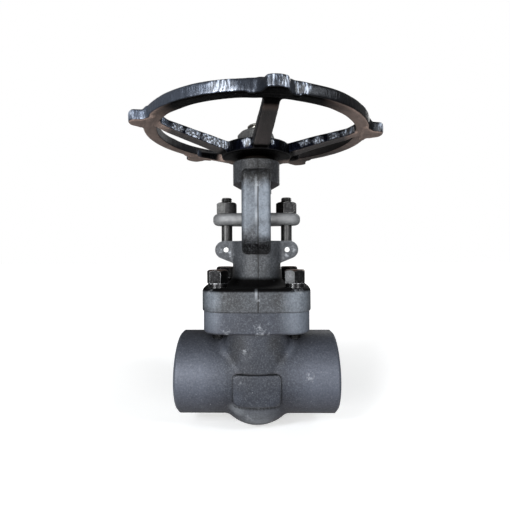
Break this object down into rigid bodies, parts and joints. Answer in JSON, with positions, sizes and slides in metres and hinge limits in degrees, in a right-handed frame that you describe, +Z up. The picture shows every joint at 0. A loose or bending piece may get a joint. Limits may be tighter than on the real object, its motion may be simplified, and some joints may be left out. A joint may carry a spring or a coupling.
{
  "type": "forged steel gate valve",
  "caption": "Forged steel gate valve with socket ends, bolted bonnet, outside screw and yoke, rising stem and a spoked handwheel that lifts a solid wedge.",
  "frame": {"origin": "where the stem axis crosses the pipe axis, in the middle of the valve", "axes": "+X along the pipe, +Y away from the side with the marking pad, +Z up the stem to the handwheel"},
  "size_m": [0.2123, 0.2112, 0.273],
  "materials": {
    "forging": "matt grey phosphate on forged steel",
    "trim_steel": "machined stainless steel",
    "gland_steel": "satin grey forged steel",
    "bolt_steel": "black oxide with bright worn edges",
    "lock_washer_steel": "dark spring steel",
    "eyebolt_steel": "dark grey steel",
    "pin_steel": "bright steel",
    "gland_nut_steel": "dark grey steel",
    "graphite": "matt pressed graphite",
    "gasket": "wound steel strip and graphite",
    "bronze": "machined bronze",
    "wheel_paint": "thick gloss blue-black paint",
    "wheel_nut_steel": "dull zinc"
  },
  "bodies": {
    "valve": {"valve_body": "forging", "bonnet": "forging", "seat_ring_left": "trim_steel", "seat_ring_right": "trim_steel", "backseat_bush": "trim_steel", "gland": "gland_steel", "gland_flange": "gland_steel", "bonnet_bolt_1": "bolt_steel", "bonnet_bolt_2": "bolt_steel", "bonnet_bolt_3": "bolt_steel", "bonnet_bolt_4": "bolt_steel", "lock_washer_1": "lock_washer_steel", "lock_washer_2": "lock_washer_steel", "lock_washer_3": "lock_washer_steel", "lock_washer_4": "lock_washer_steel", "eyebolt_left": "eyebolt_steel", "eyebolt_right": "eyebolt_steel", "eyebolt_pin_left": "pin_steel", "eyebolt_pin_right": "pin_steel", "gland_nut_left": "gland_nut_steel", "gland_nut_right": "gland_nut_steel", "packing_ring_1": "graphite", "packing_ring_2": "graphite", "packing_ring_3": "graphite", "packing_ring_4": "graphite", "packing_ring_5": "graphite", "bonnet_gasket": "gasket"},
    "wheel": {"handwheel": "wheel_paint", "stem_nut": "bronze", "thrust_washer": "bronze", "wheel_nut": "wheel_nut_steel"},
    "stem_and_wedge": {"stem": "trim_steel", "wedge": "trim_steel"}
  },
  "joints": [
    {"name": "handwheel_spin", "type": "hinge", "parent": "valve", "child": "wheel", "pos_m": [0, 0, 0.2], "axis": [0, 0, 1], "range_deg": [0, 3960]},
    {"name": "stem_lift", "type": "slide", "parent": "valve", "child": "stem_and_wedge", "axis": [0, 0, 1], "range_m": [0, 0.0442]}
  ],
  "couplings": [
    {"joint": "stem_lift", "follows": "handwheel_spin", "m_per_rad": 0.00063662}
  ]
}
